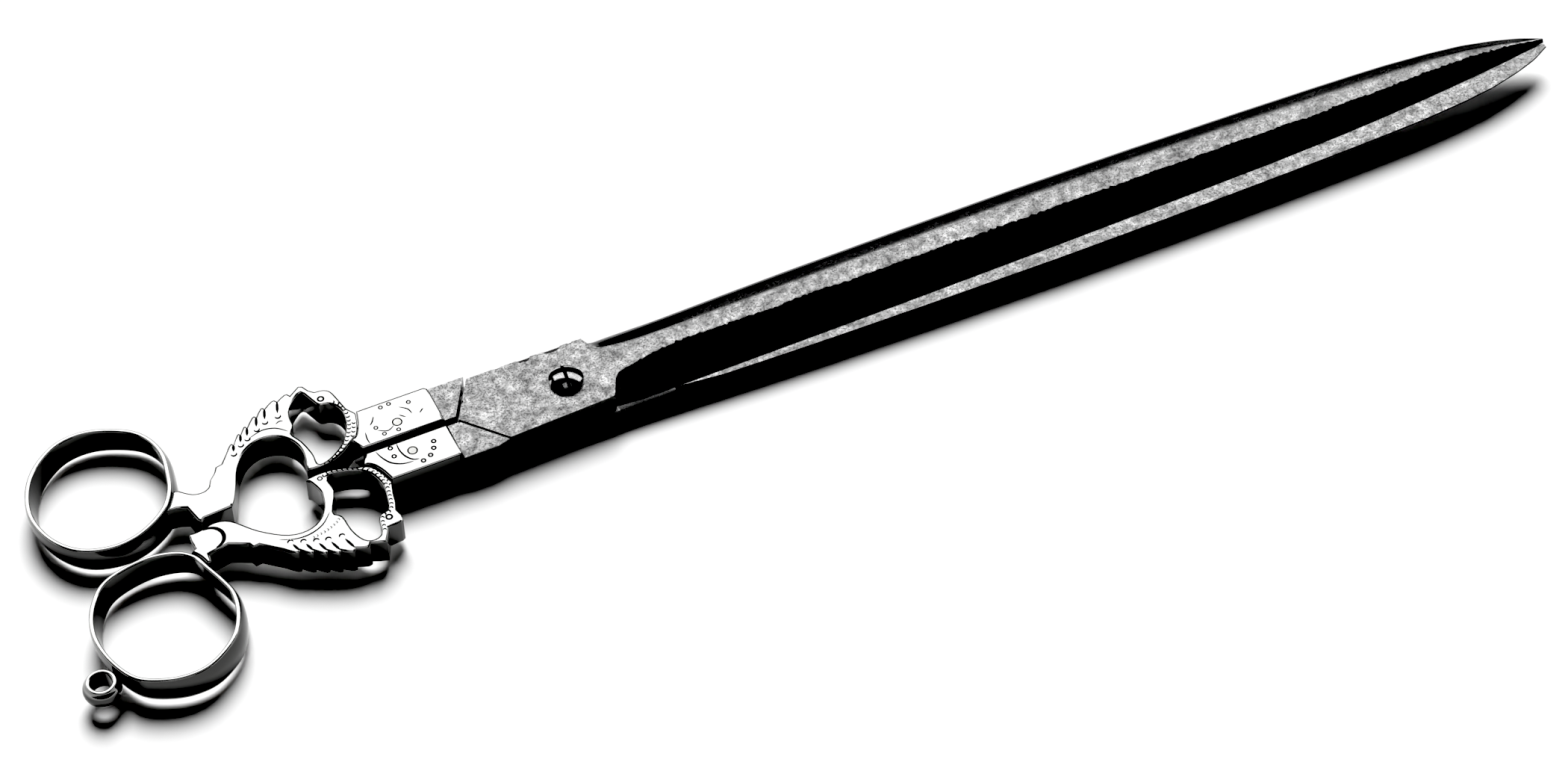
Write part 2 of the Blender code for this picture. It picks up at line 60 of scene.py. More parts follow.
LEAST_MITRE = 0.6  # limits how far a sharp corner moves when its outline is moved inwards

# Levels, from the frame.
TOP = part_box("thumb_blade")[1].z / MM
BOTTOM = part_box("finger_blade")[0].z / MM
MIDDLE = (TOP + BOTTOM) / 2
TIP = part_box("thumb_blade")[1].x / MM
BACK_SIDE = 10.3  # the plate's back edge from the centre line
BLADE_START = 8.6  # pivot axis to where the finely ground blade takes over from the plate

# Edges and rims.
# Filed edge of a casting, from the flat to the wall: (distance in from the wall, fall from the flat).
FILED_EDGE = ((0.55, 0.0), (0.42, 0.035), (0.2, 0.1), (0.1, 0.15), (0.03, 0.24), (0.0, 0.4))
EYE_EDGE = ((0.3, 0.0), (0.16, 0.03), (0.05, 0.12), (0.0, 0.28))  # the same, of the lanyard eye's bore
RIM_ROUND = 0.26  # rounding of the rings' rims
EYE_ROUND = 0.25  # rounding of the lanyard eye's rims
EYE_SWELL = 0.9  # how far the lanyard eye's barrel swells beyond its rims

# Engraving.
GROOVE_LIFT = 0.1  # how far a cutter stands above the face that it engraves
LINE_WIDTH = 0.4
LINE_DEPTH = 0.3
WING = (-75, -58)  # stretch along X that holds the feathers' notches
NOTCH_TURN = -0.5  # sine of the turn at a notch: sharper to the right than this

# Ground blade.
STATION_STEP = 0.6  # from one section to the next
TIP_SETBACK = 0.02  # the last section to the tip
RIDGE_DEPTH = 0.03  # points of a section that lie less than this below its top belong to the top
EVENING_PASSES = 5  # times that each section is evened out between its neighbours
EDGE_WALL = 0.22  # upright wall that is left at the cutting edge
BEVEL_SHARES = (0.12, 0.26, 0.42, 0.58, 0.74, 0.88, 0.96)
BEVEL_HOLLOW = 1.1  # power of the bevel's rise: the more above 1, the hollower
WEAR_REACH = 0.55  # how far the worn line between the bevel and the top strays
WEAR_START = 12  # length over which the wear grows from the plate on
WEAR_END = 14  # length over which it ends before the tip
WORN_RIDGE = (0.35, 0.03)  # width and fall of the top's worn edge along the bevel
CROWN = ((0.3, 0.0), (0.6, 0.01), (0.8, 0.05), (0.92, 0.12), (1.0, 0.2))  # (share of the top's width, fall)
BACK_SHARES = (0.1, 0.25, 0.45, 0.62, 0.76, 0.86, 0.93, 0.98)
BACK_SLOPE = 0.56  # share of the back's fall that its sloping facet takes, before the rounded outer edge
BACK_ROUND = 7  # power of the rounded outer edge
FOOT = 0.2  # how far the back's foot is drawn in
CHAMFER = (1.6, 0.45)  # width and rise of the chamfer at the foot, next to the plate
CHAMFER_START = 14  # it starts to narrow here
CHAMFER_END = 34

# Upward part of a face's normal, which tells the ground faces of a blade, coloured near-black as painted
# shade, from the worn ones.
WALL_LEVEL = 0.3
BACK_LEVEL = 0.955
BEVEL_LEVEL = 0.992

WALL_SHADE = 0.11  # brightness of the painted shade on the upright walls of the cast metals, against their flats

# Light, camera and print. Places and distances here are in metres.
BLACK_POINT = 0.06  # light below this prints black
FLOOR_DROP = 0.0001
CAMERA_PLACE = (-0.1936, -0.5162, 0.6307)  # with its height above the plate's top
CAMERA_TARGET = (0.0436, -0.0219, 0.0)
CAMERA_LENS = 85.714  # focal length in millimetres
LIGHT_TARGET = (0.06, 0, 0)
# (azimuth, elevation, distance, (width, height), radiance)
BACK_PANEL = (64, 48, 1.5, (2.4, 0.72), 1.35)
TOP_PANEL = (0, 90, 1.5, (0.7, 0.5), 0.45)
FILL_PANELS = [(azimuth, 24, 2.0, (2.2, 0.9), 0.75) for azimuth in (244, 154, 334)]

BODIES = {"thumb": "thumb_half", "finger": "finger_half"}


# ---------------------------------------------------------------- outlines


def slice_loops(node, point, normal):
    """Closed loops where a plane cuts a solid of the frame, the longest first."""
    bm = bmesh.new()
    bm.from_mesh(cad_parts[node].data)
    bmesh.ops.scale(bm, vec=(1 / MM, 1 / MM, 1 / MM), verts=bm.verts)
    bmesh.ops.remove_doubles(bm, verts=bm.verts, dist=WELD)
    whole = bm.verts[:] + bm.edges[:] + bm.faces[:]
    bmesh.ops.bisect_plane(
        bm, geom=whole, plane_co=point, plane_no=normal, clear_inner=True, clear_outer=True
    )
    left = dict.fromkeys(bm.edges)  # in their own order, so that a loop starts at the same point in every run
    loops = []
    while left:
        edge = left.popitem()[0]
        start, at = edge.verts
        loop = [start.co.copy()]
        while at is not start:
            loop.append(at.co.copy())
            edge = next(e for e in at.link_edges if e in left)
            del left[edge]
            at = edge.other_vert(at)
        loops.append(loop)
    bm.free()
    return sorted(loops, key=length_of, reverse=True)


def length_of(loop):
    return sum((a - b).length for a, b in zip(loop, loop[1:] + loop[:1]))


def neighbours(loop):
    """Each point of a closed loop between the one before it and the one after it."""
    return zip(loop[-1:] + loop[:-1], loop, loop[1:] + loop[:1])


def outlines(node, level):
    """Plan outlines of a solid at a level, anticlockwise and without the points on straight stretches."""
    result = []
    for loop in slice_loops(node, (0, 0, level), (0, 0, 1)):
        flat = [point.xy for point in loop]
        flat = [p for before, p, _ in neighbours(flat) if (p - before).length > LEAST_SPACING]
        flat = [p for before, p, after in neighbours(flat) if (p - before).angle(after - p) > STRAIGHT]
        turn = sum(a.cross(b) for a, b in zip(flat, flat[1:] + flat[:1]))
        result.append(flat if turn > 0 else flat[::-1])
    return result


def inset(loop, distance):
    """Anticlockwise outline moved inwards, or outwards where the distance is negative."""
    moved = []
    for before, point, after in neighbours(loop):
        first, second = ((b - a).orthogonal().normalized() for a, b in ((before, point), (point, after)))
        middle = (first + second).normalized()
        moved.append(point + middle * distance / max(middle.dot(first), LEAST_MITRE))
    for _ in range(3):
        for i in range(len(loop)):
            run = (loop[i] - loop[i - 1]).normalized()
            if (moved[i] - moved[i - 1]).dot(run) < LEAST_RUN:
                centre = (moved[i] + moved[i - 1]) / 2
                moved[i - 1], moved[i] = centre - run * LEAST_RUN, centre + run * LEAST_RUN
    return moved


def curve(points, steps=4):
    """Points of a smooth curve through the given ones."""
    points = [Vector(p) for p in points]
    last = len(points) - 1
    result = []
    for i in range(last):
        before, start, end, after = (points[min(max(i + k, 0), last)] for k in (-1, 0, 1, 2))
        for step in range(steps):
            t = step / steps
            bend = (end - before) * t + (2 * before - 5 * start + 4 * end - after) * t**2
            bend += (3 * start - before - 3 * end + after) * t**3
            result.append(start + bend * 0.5)
    return result + [points[-1]]


def arc(centre, radius, start, end, steps):
    """Points of an arc between two angles in degrees."""
    angles = [math.radians(start + (end - start) * step / steps) for step in range(steps + 1)]
    return [Vector((centre[0] + radius * math.cos(a), centre[1] + radius * math.sin(a))) for a in angles]


def stretch_of(loop, start, end):
    """The part of a closed loop, anticlockwise, from its point nearest start to its point nearest end."""
    first, last = (
        min(range(len(loop)), key=lambda i: (loop[i] - Vector(mark)).length) for mark in (start, end)
    )
    if last < first:
        last += len(loop)
    return [loop[i % len(loop)] for i in range(first, last + 1)]


def spaced(path, step):
    """Points at even steps along an open path, each with the direction there."""
    result = []
    travelled = 0.0
    due = step / 2
    for a, b in zip(path, path[1:]):
        run = (b - a).length
        while run > 0 and due <= travelled + run:
            result.append((a.lerp(b, (due - travelled) / run), (b - a).normalized()))
            due += step
        travelled += run
    return result


# ---------------------------------------------------------------- meshes


def make_object(name, bm):
    """Object of the mesh, whose millimetres become metres."""
    bmesh.ops.recalc_face_normals(bm, faces=bm.faces)
    if bm.calc_volume(signed=True) < 0:
        bmesh.ops.reverse_faces(bm, faces=bm.faces)
    bmesh.ops.scale(bm, vec=(MM, MM, MM), verts=bm.verts)
    mesh = bpy.data.meshes.new(name)
    bm.to_mesh(mesh)
    bm.free()
    obj = bpy.data.objects.new(name, mesh)
    bpy.context.scene.collection.objects.link(obj)
    return obj


def loft(name, sections, capped=True, material=0):
    """Skin through sections with as many points each: closed at both ends, or joined end to end."""
    bm = bmesh.new()
    rings = [[bm.verts.new(point) for point in section] for section in sections]
    following = rings[1:] if capped else rings[1:] + rings[:1]
    for ring, after in zip(rings, following):
        for i in range(len(ring)):
            j = (i + 1) % len(ring)
            bm.faces.new((ring[i], ring[j], after[j], after[i]))
    if capped:
        bm.faces.new(rings[0])
        bm.faces.new(rings[-1])
    for face in bm.faces:
        face.material_index = material
    return make_object(name, bm)


def at_level(loop, level):
    return [(point.x, point.y, level) for point in loop]


def quarter(steps):
    """(sine, cosine) at even steps of a quarter turn."""
    angles = [math.pi / 2 * step / steps for step in range(steps + 1)]
    return [(math.sin(angle), math.cos(angle)) for angle in angles]


def rounded_solid(name, loop, low, high):
    """Solid of an outline between two levels, with filed edges."""
    lower = [at_level(inset(loop, reach), low + fall) for reach, fall in FILED_EDGE]
    upper = [at_level(inset(loop, reach), high - fall) for reach, fall in FILED_EDGE]
    return loft(name, lower + upper[::-1])


def rounded_hole(name, loop, low, high, edge):
    """Cutter of an outline that also files the hole's two rims."""
    wide = inset(loop, -edge[0][0])
    lower = [at_level(inset(loop, -reach), low + fall) for reach, fall in edge]
    upper = [at_level(inset(loop, -reach), high - fall) for reach, fall in edge]
    return loft(name, [at_level(wide, low - 1)] + lower + upper[::-1] + [at_level(wide, high + 1)])


def turned(name, profile, centre=(0.0, 0.0), steps=96):
    """Solid turned about a vertical axis: a circle of each (radius, level), from the bottom up."""
    rings = [at_level(arc(centre, radius, 0, 360, steps)[:-1], level) for radius, level in profile]
    return loft(name, rings)


def cut_away(obj, tool):
    """Cuts the tool's shape out of an object, and removes the tool."""
    modifier = obj.modifiers.new(tool.name, "BOOLEAN")
    modifier.solver = "MANIFOLD"
    modifier.operation = "DIFFERENCE"
    modifier.object = tool
    graph = bpy.context.evaluated_depsgraph_get()
    result = bpy.data.meshes.new_from_object(obj.evaluated_get(graph))
    obj.modifiers.clear()
    obj.data = result
    obj.data.name = obj.name
    bpy.data.objects.remove(tool)


def join(obj, other):
    """Puts another object's mesh into the object's, and removes the other."""
    bm = bmesh.new()
    bm.from_mesh(obj.data)
    bm.from_mesh(other.data)
    bm.to_mesh(obj.data)
    bm.free()
    bpy.data.objects.remove(other)


def turn_over(obj):
    """Turns a piece over about the X axis of the level between the halves."""
    obj.data.transform(Matrix.Translation((0, 0, -MIDDLE * MM)))
    obj.data.transform(Matrix.Rotation(math.pi, 4, "X"))
    obj.data.transform(Matrix.Translation((0, 0, MIDDLE * MM)))


def clothe(obj, *materials):
    """Gives a piece its materials in place of any that it has."""
    obj.data.materials.clear()
    for material in materials:
        obj.data.materials.append(material)


def settle(obj, body, node, smooth=32):
    """Shades a piece, lets it ride on its body and stand for its node."""
    obj.data.shade_smooth()
    obj.data.set_sharp_from_angle(angle=math.radians(smooth))
    obj.modifiers.new("even_shading", "WEIGHTED_NORMAL").keep_sharp = True
    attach(obj, body)
    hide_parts(node)


# ---------------------------------------------------------------- engraving


def add_groove(bm, path, width, depth, level, closed=False):
    """Adds a V-shaped cutter that follows a path and, where the path is open, thins towards its ends."""
    count = len(path)
    rows = []
    for i, point in enumerate(path):
        after = path[(i + 1) % count] if closed or i < count - 1 else point
        before = path[i - 1] if closed or i > 0 else point
        side = (after - before).orthogonal().normalized()
        share = 1.0 if closed else 0.35 + 0.65 * math.sin(math.pi * i / (count - 1)) ** 0.6
        half = side * width * share / 2 * (1 + GROOVE_LIFT / depth)
        rows.append(
            [
                bm.verts.new((*(point + half), level + GROOVE_LIFT)),
                bm.verts.new((*(point - half), level + GROOVE_LIFT)),
                bm.verts.new((*point, level - depth * share)),
            ]
        )
    following = rows[1:] + rows[:1] if closed else rows[1:]
    for row, after in zip(rows, following):
        for i in range(3):
            j = (i + 1) % 3
            bm.faces.new((row[i], row[j], after[j], after[i]))
    if not closed:
        bm.faces.new(rows[0])
        bm.faces.new(rows[-1])
    for face in bm.faces:
        face.material_index = 1


def engrave(obj, marks, level):
    """Cuts marks, each a (path, width, closed), into the face of a piece at a level."""
    bm = bmesh.new()
    for path, width, closed in marks:
        add_groove(bm, path, width, LINE_DEPTH * (0.6 + 0.4 * width / LINE_WIDTH), level, closed)
    cut_away(obj, make_object("engraving", bm))


def line(points, width):
    return (curve(points), width, False)


def dot_ring(centre, radius, width):
    return (arc(centre, radius, 0, 360, 14)[:-1], width, True)


def crescent(centre, heading, radius, width):
    """Half-moon punch mark, whose round side points along the heading in degrees."""
    return (arc(centre, radius, heading - 95, heading + 95, 8), width, False)


def crescent_row(path, step, turn, radius, width):
    """Punch marks at even steps along a path, each turned from the path's direction."""
    marks = []
    for point, direction in spaced(path, step):
        heading = math.degrees(math.atan2(direction.y, direction.x)) + turn
        marks.append(crescent(point, heading, radius, width))
    return marks


def notches_of(loop):
    """Notches between the feathers: the sharp inner corners of a wing's outline."""
    low_x, high_x = WING
    found = []
    for before, point, after in neighbours(loop):
        turn = (point - before).cross(after - point) / (point - before).length / (after - point).length
        if turn < NOTCH_TURN and low_x < point.x < high_x:
            found.append(point)
    return found


def feather_marks(loop, inward):
    """A slanted cut from each notch of the wing and a half-moon beyond it, longer towards the head."""
    marks = []
    slant = Vector((-0.33, inward)).normalized()
    for notch in notches_of(loop):
        length = 2.3 + 0.13 * (notch.x - WING[0])
        marks.append(([notch + slant * length * share for share in (0.05, 0.3, 0.6, 0.85)], 0.66, False))
        marks.append(crescent(notch + slant * (length + 0.35), 90 * inward, 0.62, 0.42))
    return marks


# ---------------------------------------------------------------- materials


def new_material(name):
    material = bpy.data.materials.new(name)
    material.use_nodes = True
    nodes = material.node_tree.nodes
    return material, nodes, material.node_tree.links, nodes["Principled BSDF"]


def noise_of(nodes, links, scale, detail=4.0, rough=0.6, stretch=None):
    """Noise in the frame's own coordinates, with the scale in waves to the metre."""
    place = nodes.new("ShaderNodeTexCoord").outputs["Object"]
    if stretch:
        mapping = nodes.new("ShaderNodeMapping")
        mapping.inputs["Scale"].default_value = stretch
        links.new(place, mapping.inputs["Vector"])
        place = mapping.outputs["Vector"]
    texture = nodes.new("ShaderNodeTexNoise")
    texture.inputs["Scale"].default_value = scale
    texture.inputs["Detail"].default_value = detail
    texture.inputs["Roughness"].default_value = rough
    links.new(place, texture.inputs["Vector"])
    return texture.outputs["Fac"]


def ramp(nodes, links, source, *stops):
    """Colour ramp whose stops are (place, grey or colour)."""
    node = nodes.new("ShaderNodeValToRGB")
    elements = node.color_ramp.elements
    while len(elements) < len(stops):
        elements.new(0.5)
    for element, (place, value) in zip(elements, stops):
        element.position = place
        element.color = (value, value, value, 1) if isinstance(value, float) else (*value, 1)
    links.new(source, node.inputs["Fac"])
    return node.outputs["Color"]


def mixed(nodes, links, kind, factor, first, second):
    """Mix of two colours or links; the factor may be a number or a link."""
    node = nodes.new("ShaderNodeMix")
    node.data_type = "RGBA"
    node.blend_type = kind
    for socket, value in ((node.inputs[0], factor), (node.inputs[6], first), (node.inputs[7], second)):
        if isinstance(value, (float, tuple)):
            socket.default_value = value if isinstance(value, float) else (*value, 1)
        else:
            links.new(value, socket)
    return node.outputs[2]


def bump_of(nodes, links, height, distance, strength, below=None):
    """Normal of a bump of a real height, in metres."""
    node = nodes.new("ShaderNodeBump")
    node.inputs["Distance"].default_value = distance
    node.inputs["Strength"].default_value = strength
    links.new(height, node.inputs["Height"])
    if below is not None:
        links.new(below, node.inputs["Normal"])
    return node.outputs["Normal"]


def paint_wall_shade(nodes, links, worn, shade_colour, steep=0.35, flat=0.85):
    """Colour that keeps its own tone on faces that lie flat and is painted dark on the upright walls, as
    painted shade.
    """
    normal = nodes.new("ShaderNodeNewGeometry").outputs["Normal"]
    apart = nodes.new("ShaderNodeSeparateXYZ")
    links.new(normal, apart.inputs["Vector"])
    upright = nodes.new("ShaderNodeMath")
    upright.operation = "ABSOLUTE"
    links.new(apart.outputs["Z"], upright.inputs[0])
    shade = ramp(nodes, links, upright.outputs[0], (steep, 0.0), (flat, 1.0))
    return mixed(nodes, links, "MIX", shade, shade_colour, worn)


def steel(name, dark, light, smooth, rough, pit_depth=0.00004, wall=0.08, worn=(0.35, 0.85)):
    """Old forged steel: clouded, stained and finely pitted, with a painted shade colour on the upright walls.
    """
    material, nodes, links, shader = new_material(name)
    clouds = noise_of(nodes, links, 420, 8, 0.72)
    specks = noise_of(nodes, links, 2300, 3, 0.7)
    stains = noise_of(nodes, links, 90, 3)
    colour = ramp(nodes, links, clouds, (0.36, dark), (0.64, light))
    speckled = ramp(nodes, links, specks, (0.36, 0.3), (0.5, 1.0))
    colour = mixed(nodes, links, "MULTIPLY", 0.6, colour, speckled)
    stained = ramp(nodes, links, stains, (0.38, 0.6), (0.6, 1.0))
    colour = mixed(nodes, links, "MULTIPLY", 0.45, colour, stained)
    # Painted shade: upright walls take the wall colour, and faces that tilt between the two levels in worn
    # fade to it.
    links.new(paint_wall_shade(nodes, links, colour, (wall,) * 3, *worn), shader.inputs["Base Color"])
    shader.inputs["Metallic"].default_value = 1.0
    links.new(ramp(nodes, links, clouds, (0.35, rough), (0.65, smooth)), shader.inputs["Roughness"])
    pits = ramp(nodes, links, specks, (0.3, 0.0), (0.48, 1.0))
    grain = bump_of(nodes, links, clouds, pit_depth, 0.5)
    links.new(bump_of(nodes, links, pits, pit_depth, 0.6, grain), shader.inputs["Normal"])
    return material


def bright_metal(name, colour, smooth, rough, ripple=0.00003):
    """Cast white metal, filed and polished: faint ripples, smears and fine scratches, with painted shade on
    the upright walls.
    """
    material, nodes, links, shader = new_material(name)
    smears = noise_of(nodes, links, 120, 4)
    scratches = noise_of(nodes, links, 500, 3, 0.6, (1.0, 6.0, 1.0))
    darker = tuple(value * 0.86 for value in colour)
    # Painted shade: the upright walls take this darkened copy of the metal's colour.
    wall_shade = tuple(value * WALL_SHADE for value in colour)
    colour = ramp(nodes, links, smears, (0.35, darker), (0.6, colour))
    links.new(paint_wall_shade(nodes, links, colour, wall_shade), shader.inputs["Base Color"])
    shader.inputs["Metallic"].default_value = 1.0
    links.new(ramp(nodes, links, scratches, (0.35, smooth), (0.7, rough)), shader.inputs["Roughness"])
    waves = bump_of(nodes, links, smears, ripple, 0.5)
    links.new(bump_of(nodes, links, scratches, ripple / 6, 0.4, waves), shader.inputs["Normal"])
    return material


def make_patina_and_slot_shade():
    """Black that fills engraved lines, the old metal's own dark oxide; in the screw's slot the same black is
    painted shade.
    """
    material, nodes, links, shader = new_material("patina_and_slot_shade")
    specks = noise_of(nodes, links, 2500, 3)
    links.new(ramp(nodes, links, specks, (0.4, 0.012), (0.7, 0.05)), shader.inputs["Base Color"])
    shader.inputs["Metallic"].default_value = 0.4
    links.new(ramp(nodes, links, specks, (0.3, 0.55), (0.7, 0.8)), shader.inputs["Roughness"])
    return material


patina_and_slot_shade = make_patina_and_slot_shade()
# Painted shade: on the blade's top, faces tilted between about 4 and 20 degrees fade to the dark wall colour.
aged_steel = steel("aged_steel", 0.40, 0.92, 0.24, 0.38, worn=(0.94, 0.998))
# Painted shade: the bevel and the sloping back are coloured near-black; their smoother finish is the real
# grinding.
shaded_ground_steel = steel("shaded_ground_steel", 0.06, 0.12, 0.10, 0.18, 0.000004, wall=0.05)
screw_steel = steel("polished_screw_steel", 0.6, 0.8, 0.08, 0.14, 0.000004)
nut_steel = steel("filed_nut_steel", 0.25, 0.40, 0.30, 0.48)
silver = bright_metal("bird_silver", (0.93, 0.93, 0.92), 0.10, 0.22)
ring_silver = bright_metal("ring_silver", (0.92, 0.92, 0.91), 0.05, 0.12, 0.000015)
ferrule_silver = bright_metal("ferrule_silver", (0.93, 0.93, 0.92), 0.10, 0.2)
pin_silver = bright_metal("pin_silver", (0.80, 0.80, 0.78), 0.15, 0.3)
brass = bright_metal("washer_brass", (0.70, 0.54, 0.28), 0.25, 0.42)


# ---------------------------------------------------------------- blades


def working_section(node, x, flipped):
    """(back, edge, low ridge, high ridge, base, height) of a blade at a distance from the pivot."""
    loop = slice_loops(node, (x, 0, 0), (1, 0, 0))[0]
    side = -1 if flipped else 1
    points = [(side * point.y, side * (point.z - MIDDLE)) for point in loop]
    ys = [y for y, _ in points]
    zs = [z for _, z in points]
    ridge = [y for y, z in points if z > max(zs) - RIDGE_DEPTH]
    return [max(ys), min(ys), min(ridge), max(ridge), min(zs), max(zs)]


def smoothed(rows, passes):
    """Rows of numbers, each evened out between its neighbours, with both ends kept."""
    for _ in range(passes):
        inner = [
            [(a + 2 * b + c) / 4 for a, b, c in zip(*three)] for three in zip(rows, rows[1:], rows[2:])
        ]
        rows = [rows[0]] + inner + [rows[-1]]
    return rows


def ragged(x, seed):
    """Uneven line of old wear, about -1 to 1: long waves with fine teeth on them."""
    wave = noise.noise(Vector((x * 0.09, seed, 0)))
    teeth = noise.noise(Vector((x * 0.9, seed, 7))) * 0.8 + noise.noise(Vector((x * 2.3, seed, 3)))
    return wave + teeth


def ground_blade(name, node, flipped, seed):
    """Blade from the plate to the tip: flat inner face, hollow-ground bevel, worn top and sloping back."""
    count = round((TIP - BLADE_START) / STATION_STEP)
    length = TIP - TIP_SETBACK - BLADE_START
    places = [BLADE_START + length * i / count for i in range(count + 1)]
    rows = smoothed([working_section(node, x, flipped) for x in places], EVENING_PASSES)
    sections = []
    for x, (back, edge, low, high, base, height) in zip(places, rows):
        wall = base + EDGE_WALL
        rise = height - wall
        fade = min(1.0, max(0.0, (x - BLADE_START) / WEAR_START)) * min(1.0, (TIP - x) / WEAR_END)
        low += WEAR_REACH * fade * ragged(x, seed)
        section = [(edge, base), (edge, wall)]
        for share in BEVEL_SHARES:
            section.append((edge + (low - edge) * share, wall + rise * share**BEVEL_HOLLOW))
        section += [(low, height - WORN_RIDGE[1] * fade), (low + WORN_RIDGE[0], height)]
        section += [(low + (high - low) * share, height - sag * fade) for share, sag in CROWN]
        start = height - CROWN[-1][1] * fade
        for share in BACK_SHARES:
            fall = BACK_SLOPE * share + (1 - BACK_SLOPE) * share**BACK_ROUND
            section.append((high + (back - high) * share, start - (start - wall) * fall))
        near = 1 - min(1.0, max(0.0, (x - CHAMFER_START) / (CHAMFER_END - CHAMFER_START)))
        width, climb = (size * near for size in CHAMFER)
        section += [(back, wall + climb), (back - FOOT - width, base)]
        sections.append([(x, y, MIDDLE + z) for y, z in section])
    return loft(name, sections)


def plate_and_shank(name, node):
    """The plate, shank and tang of a half, as the frame has them, cut off where the ground blade starts."""
    bm = bmesh.new()
    bm.from_mesh(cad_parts[node].data)
    bmesh.ops.scale(bm, vec=(1 / MM, 1 / MM, 1 / MM), verts=bm.verts)
    bmesh.ops.remove_doubles(bm, verts=bm.verts, dist=WELD)
    whole = bm.verts[:] + bm.edges[:] + bm.faces[:]
    cut = bmesh.ops.bisect_plane(
        bm, geom=whole, plane_co=(BLADE_START, 0, 0), plane_no=(1, 0, 0), clear_outer=True
    )
    rim = [item for item in cut["geom_cut"] if isinstance(item, bmesh.types.BMEdge)]
    bmesh.ops.holes_fill(bm, edges=rim, sides=0)
    bmesh.ops.dissolve_limit(bm, angle_limit=math.radians(0.5), verts=bm.verts, edges=bm.edges)
    return make_object(name, bm)


def wear_the_plate(obj):
    """Chips along the plate's back edge, which slope outwards, and a nick in the lap joint."""
    chips = ((-6.2, 3.6, 1.3), (0.6, 4.6, 1.4), (-12.4, 1.4, 0.6), (5.2, 1.1, 0.5))  # (centre, length, reach)
    for centre, length, reach in chips:
        sections = []
        for step in range(9):
            x = centre + length * (step / 8 - 0.5)
            inner = BACK_SIDE - reach * (0.75 + 0.35 * noise.noise(Vector((x * 1.7, 3.0, 0.0))))
            inner += reach * 0.9 * abs(step / 4 - 1) ** 4
            outer = [(x, BACK_SIDE + 0.6, z) for z in (TOP - 0.5, TOP + 0.5)]
            sections.append([(x, inner, TOP + 0.5), (x, inner, TOP - 0.12), *outer])
        cut_away(obj, loft("chip", sections))
    cut_away(obj, turned("nick", [(0.45, TOP - 1.5), (0.6, TOP + 0.4)], (-23.6, 4.6), 9))


def paint_shaded_ground_faces(obj, flipped):
    """Gives the hollow bevel and the sloping back their finer grinding, and a near-black colour that is
    painted shade, chosen by how far each face tilts.
    """
    clothe(obj, aged_steel, shaded_ground_steel)
    up = -1 if flipped else 1
    for face in obj.data.polygons:
        level = face.normal.z * up
        flattest = BACK_LEVEL if face.normal.y * up > 0 else BEVEL_LEVEL
        beyond = face.center.x / MM > BLADE_START
        face.material_index = 1 if beyond and WALL_LEVEL < level < flattest else 0


def make_blades():
    for hand in ("thumb", "finger"):
        flipped = hand == "finger"
        node = hand + "_blade"
        blade = ground_blade("ground", node, flipped, 11.0 if flipped else 4.0)
        if flipped:
            turn_over(blade)
        piece = plate_and_shank(hand + "_blade_steel", node)
        if not flipped:
            wear_the_plate(piece)
        join(piece, blade)
        paint_shaded_ground_faces(piece, flipped)
        settle(piece, BODIES[hand], node, smooth=16)


# ---------------------------------------------------------------- pivot


def make_screw():
    """Domed screw head with a slot, on its shank."""
    low, high = (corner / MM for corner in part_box("pivot_screw"))
    radius = high.x
    shank = 2.6
    seat = TOP + 0.1
    wall = 0.8
    profile = [(shank - 0.3, low.z), (shank, low.z + 0.3), (shank, seat), (radius - 0.2, seat)]
    profile += [(radius - 0.05, seat + 0.06), (radius, seat + 0.2), (radius, seat + wall - 0.12)]
    rise = high.z - seat - wall
    lean = 2 * math.atan(rise / radius)
    for step in range(14):
        angle = lean * (1 - step / 14)
        level = high.z - rise * (1 - math.cos(angle)) / (1 - math.cos(lean))
        profile.append((radius * math.sin(angle) / math.sin(lean), level))
    profile.append((0.01, high.z))
    screw = turned("pivot_screw_head", profile)
    clear = 2 * high.z - seat
    # Painted shade: the slot's faces take the screw's second material, the black of the engraved lines.
    slot = loft(
        "slot",
        [
            [(-width, -9, level), (width, -9, level), (width, 9, level), (-width, 9, level)]
            for width, level in ((0.38, high.z - 1.0), (0.4, high.z - 0.35), (0.58, clear))
        ],
        material=1,
    )
    slot.data.transform(Matrix.Rotation(math.radians(-8), 4, "Z"))
    clothe(screw, screw_steel, patina_and_slot_shade)
    cut_away(screw, slot)
    settle(screw, "finger_half", "pivot_screw")


def dress_small_parts():
    """Metals of the small parts whose shape the frame already has."""
    dressing = {"pivot_washer": brass, "pivot_nut": nut_steel}
    dressing.update({hand + "_tang_pin": pin_silver for hand in BODIES})
    for node, material in dressing.items():
        clothe(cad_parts[node], material)


# ---------------------------------------------------------------- ferrules


